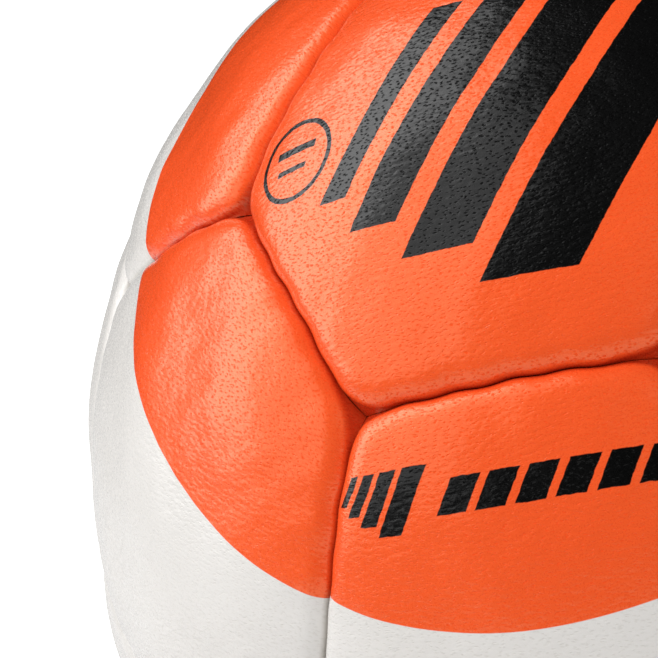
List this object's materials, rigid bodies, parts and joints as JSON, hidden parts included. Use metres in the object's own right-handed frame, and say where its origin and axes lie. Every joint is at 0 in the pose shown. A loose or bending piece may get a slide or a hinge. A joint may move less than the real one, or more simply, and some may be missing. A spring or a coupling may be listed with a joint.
{
  "type": "soccer ball",
  "caption": "Round stitched ball of six-sided and five-sided leather panels over an air bladder, with a needle valve.",
  "frame": {"origin": "centre of the ball", "axes": "+Z out through the valve, -Y towards the viewer of the front"},
  "size_m": [0.2182, 0.2182, 0.2199],
  "materials": {
    "orange_leather": "satin, fine pebble grain",
    "white_leather": "satin, fine pebble grain",
    "foam": "matt closed-cell foam",
    "lining_cloth": "matt plain weave",
    "thread": "waxed",
    "bladder_rubber": "matt",
    "valve_rubber": "satin",
    "core_rubber": "satin"
  },
  "bodies": {
    "ball": {"valve_panel": "orange_leather", "hexagon_panel_02": "white_leather", "hexagon_panel_03": "orange_leather", "hexagon_panel_04": "orange_leather", "hexagon_panel_05": "orange_leather", "hexagon_panel_06": "orange_leather", "hexagon_panel_07": "orange_leather", "hexagon_panel_08": "white_leather", "hexagon_panel_09": "orange_leather", "hexagon_panel_10": "orange_leather", "hexagon_panel_11": "orange_leather", "hexagon_panel_12": "orange_leather", "hexagon_panel_13": "orange_leather", "hexagon_panel_14": "orange_leather", "hexagon_panel_15": "white_leather", "hexagon_panel_16": "orange_leather", "hexagon_panel_17": "white_leather", "hexagon_panel_18": "orange_leather", "hexagon_panel_19": "orange_leather", "hexagon_panel_20": "orange_leather", "pentagon_panel_01": "orange_leather", "pentagon_panel_02": "orange_leather", "pentagon_panel_03": "orange_leather", "pentagon_panel_04": "orange_leather", "pentagon_panel_05": "orange_leather", "pentagon_panel_06": "orange_leather", "pentagon_panel_07": "orange_leather", "pentagon_panel_08": "orange_leather", "pentagon_panel_09": "orange_leather", "pentagon_panel_10": "orange_leather", "pentagon_panel_11": "orange_leather", "pentagon_panel_12": "orange_leather", "hexagon_foam": "foam", "pentagon_foam": "foam", "hexagon_lining": "lining_cloth", "pentagon_lining": "lining_cloth", "hexagon_seam_thread": "thread", "pentagon_seam_thread": "thread", "bladder": "bladder_rubber", "valve_stem": "valve_rubber", "valve_patch": "lining_cloth"},
    "valve_core": {"valve_core": "core_rubber"}
  },
  "joints": [
    {"name": "valve_core_pull", "type": "slide", "parent": "ball", "child": "valve_core", "axis": [0, 0, 1], "range_m": [0, 0.03]}
  ]
}
